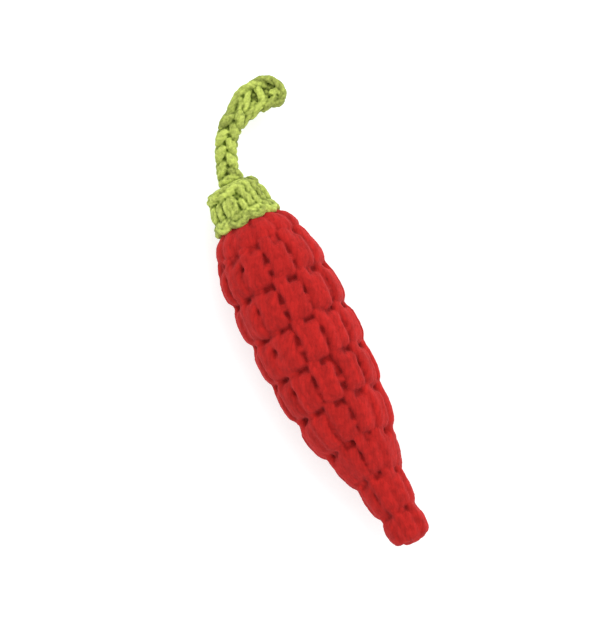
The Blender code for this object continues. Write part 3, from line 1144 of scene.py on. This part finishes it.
@dataclass
class CrochetedCap:
    """The green cap: an edge of loops, a row of posts and a wrapped top over a thin fabric."""

    form: CapForm = field(default_factory=CapForm)
    yarn: Yarn = field(default_factory=lambda: Yarn(radius=1.18, twist_length=8.0, groove=0.18))
    stitches: int = 10
    face_stitches: tuple[int, ...] = (8, 9, 0, 1)
    first_gap: float = 5.0
    inside: tuple[Pair, ...] = (
        (95.0, 7.6), (97, 6.75), (100, 6.05), (102.4, 5.25), (103.4, 3.6),
    )
    fabric_depth: float = 1.5
    fabric_stations: tuple[float, ...] = (95.2, 97.2, 99.5, 101.9, 103.4, 105.3)
    fabric_crown: float = 0.3
    fabric_steps: int = 40
    fabric_merge: float = 1e-6
    seed: int = 5
    wander_across: float = 0.04
    wander_along: float = 0.2
    wander_depth: float = 0.08

    def build(self) -> list[Piece]:
        """Makes the stitches and the fabric behind them."""
        work = YarnWork("cap_stitches", self.yarn, voxel=0.25, softening=1, hollow_rounds=14)
        chance = random.Random(self.seed)
        pitch = math.tau / self.stitches
        for stitch in range(self.stitches):
            shift = chance.uniform(-1, 1) * self.wander_across
            on_face = stitch in self.face_stitches
            for strand in CapStrand:
                if on_face and strand not in (CapStrand.EDGE_LOOP, CapStrand.EDGE_CHAIN):
                    continue
                rise = chance.uniform(-1, 1) * self.wander_along
                lift = chance.uniform(-1, 1) * self.wander_depth
                points = []
                for across, station, depth in strand.value:
                    turn = math.radians(self.first_gap) + (stitch + across + shift) * pitch
                    sunk = depth * self.yarn.radius + lift
                    points.append(self.form.point(station + rise, turn, sunk))
                work.add(points)
        for strand in CapFaceStrand:
            points = [
                self.form.point_across(side, station, depth * self.yarn.radius)
                for side, station, depth in strand.value
            ]
            work.add(points)
        return [work.build(self._fabric())]

    def _fabric(self) -> Piece:
        """Makes the thin cup behind the stitches, from a section turned round the axis."""
        outer = self.fabric_stations
        section = [(s, smooth_value(self.form.outline, s) - self.fabric_depth) for s in outer]
        section += [(outer[-1] + self.fabric_crown, 0.0), (self.inside[-1][0], 0.0)]
        section += reversed(self.inside)
        bm = bmesh.new()
        corners = [bm.verts.new((half, station, 0)) for station, half in section]
        edges = [bm.edges.new(pair) for pair in zip(corners, corners[1:] + corners[:1])]
        bmesh.ops.spin(
            bm,
            geom=corners + edges,
            cent=(0, 0, 0),
            axis=(0, 1, 0),
            angle=math.tau,
            steps=self.fabric_steps,
            use_merge=True,
        )
        for vertex in bm.verts:
            half = math.hypot(vertex.co.x, vertex.co.z)
            flat = 1 - self.form.flattening * half / self.form.widest
            vertex.co.y = (vertex.co.y - REST_STATION) * MM
            vertex.co.x *= MM
            vertex.co.z = (AXIS_HEIGHT + vertex.co.z * flat) * MM
        return link_mesh("cap_fabric", bm, self.fabric_merge)

    def dress(self, pieces: list[Piece], yarn: bpy.types.Material) -> None:
        """Gives the piece its material and ties it to the frame."""
        (stitches,) = pieces
        attach(stitches, yarn)
        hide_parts("cap")


@dataclass
class CordStem:
    """The green cord: two columns of lobes above and below, and a looser hook with a knot.

    A lobe's points are (along, side, rise) from its middle, with side and rise for a cord whose
    half-width is the drawn width.
    """

    form: StemForm = field(default_factory=StemForm)
    yarn: Yarn = field(default_factory=lambda: Yarn(radius=1.25, twist_length=8.0, groove=0.18))
    pitch: float = 4.05
    first_lobe: float = 1.1
    last_lobe: float = 18.5
    first_place: float = 0.6
    drawn_width: float = 3.0
    lobe: tuple[Triple, ...] = (
        (2.2, 0.3, -0.3), (1.7, 0.5, 0.8), (0.9, 0.95, 1.38), (0.0, 1.4, 1.5), (-0.9, 1.7, 1.25),
        (-1.65, 1.75, 0.55), (-2.1, 1.6, -0.4),
    )
    lobe_thickness: float = 1.12
    lobe_taper: float = 0.5
    foot_inset: float = 0.25
    foot_points: int = 14
    foot_turns: float = 1.04
    foot_place: float = 0.36
    foot_wave: float = 0.12
    foot_wave_start: float = 0.8
    core_faces: tuple[int, int] = (16, 60)
    core_start: float = 0.02
    core_shortening: float = 1.4
    core_rounding: float = 1.5
    core_inset: float = 1.2
    core_half_height: float = 1.35
    hook_core_half_height: float = 0.5
    hook_from: float = 17.5
    hook_until: float = 20.5
    hook_height: float = 9.2
    hook_thickness: float = 0.9
    knot_middle: Pair = (21.3, 120.8)
    knot_reach: float = 1.15
    knot_start: float = 150.0
    knot_step: float = 40.0
    knot_points: int = 16
    knot_top: float = 1.9
    knot_drop: float = 0.26
    seed: int = 3
    wander: float = 0.12

    def build(self) -> list[Piece]:
        """Makes the lobes, the hook and the core behind them."""
        work = YarnWork("stem_stitches", self.yarn, voxel=0.22, softening=1, hollow_rounds=14)
        chance = random.Random(self.seed)
        for face in (1, -1):
            for side in (1, -1):
                place = self.first_lobe + (self.pitch / 2 if side * face < 0 else 0)
                while place < self.last_lobe:
                    self._add_lobe(work, place, side, face, chance)
                    place += self.pitch
            self._add_hook(work, face)
        self._add_knot(work)
        self._add_base(work)
        return [work.build(self._core())]

    def _add_lobe(
        self, work: YarnWork, place: float, side: int, face: int, chance: random.Random
    ) -> None:
        """Adds one lobe of a column.

        Args:
            work: the yarn work that takes it.
            place: the distance of the lobe's middle along the cord.
            side: 1 for the hook's inner side, -1 for its outer side.
            face: 1 for the upper face, -1 for the underside.
            chance: the source of its small irregularities.
        """
        points = []
        lift = chance.uniform(-1, 1) * self.wander
        for along, beside, rise in self.lobe:
            here = min(max(place + along, self.first_place), self.form.length)
            scale = self.form.half_width(here) / self.drawn_width
            above = face * (rise * scale + lift)
            points.append(self.form.point(here, side * beside * scale, above))
        work.add(points, self.lobe_thickness, self.lobe_taper)

    def _add_hook(self, work: YarnWork, face: int) -> None:
        """Adds the looser strands of the hook on one face."""
        for strand in HookStrand:
            points = [
                placed(x, station, self.hook_height + face * rise)
                for x, station, rise in strand.value
            ]
            work.add(points, self.hook_thickness)

    def _add_base(self, work: YarnWork) -> None:
        """Adds the turn of yarn that spreads the cord's foot on the cap."""
        reach = self.form.half_width(0) - self.yarn.radius - self.foot_inset
        points = []
        for k in range(self.foot_points + 1):
            turn = math.tau * k / self.foot_points * self.foot_turns
            along = self.foot_place + self.foot_wave * math.sin(turn + self.foot_wave_start)
            rise = reach * math.sin(turn) * self.form.flatness
            points.append(self.form.point(along, reach * math.cos(turn), rise))
        work.add(points)

    def _add_knot(self, work: YarnWork) -> None:
        """Adds the strand that curls over itself at the hook's end."""
        middle, station = self.knot_middle
        points = []
        for k in range(self.knot_points):
            turn = math.radians(self.knot_start - self.knot_step * k)
            x = middle + self.knot_reach * math.cos(turn)
            z = self.hook_height + self.knot_top - self.knot_drop * k
            points.append(placed(x, station + self.knot_reach * math.sin(turn), z))
        work.add(points, self.hook_thickness)

    def _core(self) -> Piece:
        """Makes the core that fills the cord behind the lobes."""
        bm = bmesh.new()
        sides, rings = self.core_faces
        bmesh.ops.create_uvsphere(bm, u_segments=sides, v_segments=rings, radius=1.0)
        room = self.form.length - self.core_shortening
        for vertex in bm.verts:
            share = share_down(vertex)
            along = self.core_start + room * share
            around = max(math.hypot(vertex.co.x, vertex.co.y), LEAST_REACH)
            closing = math.sqrt(min(min(share, 1 - share) * room / self.core_rounding, 1.0))
            reach = (self.form.half_width(along) - self.core_inset) * closing / around
            in_hook = ramp(along, self.hook_from, self.hook_until)
            height = self.core_half_height * (1 - in_hook) + self.hook_core_half_height * in_hook
            height = min(height * closing / around, reach)
            vertex.co = self.form.point(along, vertex.co.x * reach, vertex.co.y * height) * MM
        return link_mesh("stem_core", bm)

    def dress(self, pieces: list[Piece], yarn: bpy.types.Material) -> None:
        """Gives the piece its material and ties it to the frame."""
        (stitches,) = pieces
        attach(stitches, yarn)
        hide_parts("stem")


def attach(piece: Piece, material: bpy.types.Material) -> None:
    """Gives a piece its material and its slot, and ties it to the part's one body."""
    piece.data.materials.append(material)
    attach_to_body(piece, "root")


@dataclass
class Studio:
    """A pale floor, a broad soft light overhead and the camera that looks straight down."""

    centre: Pair = (2.55, 1.4)
    up_turn: float = 26.49
    frame_height: float = 166.4
    lens: float = 100.0
    sensor: float = 36.0
    level: float = 12.0
    clip_start: float = 0.01
    floor_size: float = 3.0
    floor_drop: float = 0.02
    floor_colour: Triple = (0.66, 0.7, 0.7)
    floor_roughness: float = 0.9
    floor_specular: float = 0.1
    table_glow: float = 0.52
    surroundings: float = 0.88
    light_place: Triple = (0.4, 0.3, 0.6)
    light_size: float = 0.6
    light_power: float = 3.1

    def floor(self) -> None:
        """Makes the pale floor."""
        bm = bmesh.new()
        bmesh.ops.create_grid(bm, x_segments=1, y_segments=1, size=self.floor_size)
        mesh = bpy.data.meshes.new("floor")
        bm.to_mesh(mesh)
        bm.free()
        floor = bpy.data.objects.new("floor", mesh)
        floor.location.z = -self.floor_drop * MM
        material, shader = new_material("floor_white", self.floor_roughness, self.floor_specular)
        shader.inputs["Base Color"].default_value = (*self.floor_colour, 1)
        shader.inputs["Emission Color"].default_value = (1, 1, 1, 1)
        shader.inputs["Emission Strength"].default_value = self.table_glow
        mesh.materials.append(material)
        bpy.context.scene.collection.objects.link(floor)

    def light(self) -> None:
        """Makes the soft light and the bright surroundings."""
        world = bpy.data.worlds.new("studio")
        world.use_nodes = True
        background = world.node_tree.nodes["Background"]
        background.inputs["Color"].default_value = (1, 1, 1, 1)
        background.inputs["Strength"].default_value = self.surroundings
        bpy.context.scene.world = world
        lamp = bpy.data.lights.new("key", "AREA")
        lamp.size = self.light_size
        lamp.energy = self.light_power
        holder = bpy.data.objects.new("key", lamp)
        holder.location = self.light_place
        holder.rotation_mode = "QUATERNION"
        holder.rotation_quaternion = (-Vector(self.light_place)).to_track_quat("-Z", "Y")
        bpy.context.scene.collection.objects.link(holder)

    def camera(self) -> None:
        """Makes the camera, whose upward side lies clockwise of +Y as in the photograph."""
        lens = bpy.data.cameras.new("camera")
        lens.lens = self.lens
        lens.sensor_width = self.sensor
        lens.clip_start = self.clip_start
        holder = bpy.data.objects.new("camera", lens)
        distance = self.frame_height * self.lens / self.sensor
        place = Vector((self.centre[0], self.centre[1], self.level + distance)) * MM
        turn = Matrix.Rotation(-math.radians(self.up_turn), 4, "Z")
        holder.matrix_world = Matrix.Translation(place) @ turn
        bpy.context.scene.collection.objects.link(holder)
        bpy.context.scene.camera = holder

    def build(self) -> None:
        """Makes the whole studio."""
        self.floor()
        self.light()
        self.camera()
        bpy.context.scene.view_settings.view_transform = "Standard"


def main() -> None:
    """Builds the pieces in order and reports each."""
    logging.basicConfig(level=logging.INFO, format="%(message)s")
    fibres = FibreDrawing().build()
    red = YarnFinish(
        name="red_yarn",
        colour=(0.56, 0.0175, 0.014),
        # Painted shade for the grooves between plies and for the hollows between strands.
        valley_shade=(0.36, 0.01, 0.008),
        hollow_colour=(0.22, 0.0025, 0.0018),
        mottle=0.5,
        mottle_scale=600.0,
        hollow_from=-0.08,
        hollow_to=0.37,
        sheen_tint=(1.0, 0.17, 0.18),
        ply_depth=0.4,
        bump=0.6,
    )
    green = YarnFinish(
        name="green_yarn",
        colour=(0.55, 0.645, 0.135),
        # Painted shade for the grooves between plies and for the hollows between strands.
        valley_shade=(0.28, 0.37, 0.03),
        hollow_colour=(0.075, 0.125, 0.002),
        sheen_tint=(0.36, 0.4, 0.2),
        ply_depth=0.3,
        mottle=1.2,
        mottle_scale=1100.0,
        hollow_from=-0.08,
        hollow_to=0.18,
    )
    red_yarn = red.make(fibres)
    green_yarn = green.make(fibres)
    felted = FeltedFinish(
        name="fibre", colour=(0.85, 0.84, 0.81), dark=(0.7, 0.69, 0.66), grain=300.0, detail=1.0
    )
    fibre = felted.make()
    body, cap, stem = CrochetedBody(), CrochetedCap(), CordStem()
    body_pieces, cap_pieces, stem_pieces = body.build(), cap.build(), stem.build()
    body.dress(body_pieces, red_yarn, fibre)
    cap.dress(cap_pieces, green_yarn)
    stem.dress(stem_pieces, green_yarn)
    for piece in body_pieces + cap_pieces + stem_pieces:
        log.info("%s: %d faces", piece.name, len(piece.data.polygons))
    Studio().build()


if __name__ == "__main__":
    main()
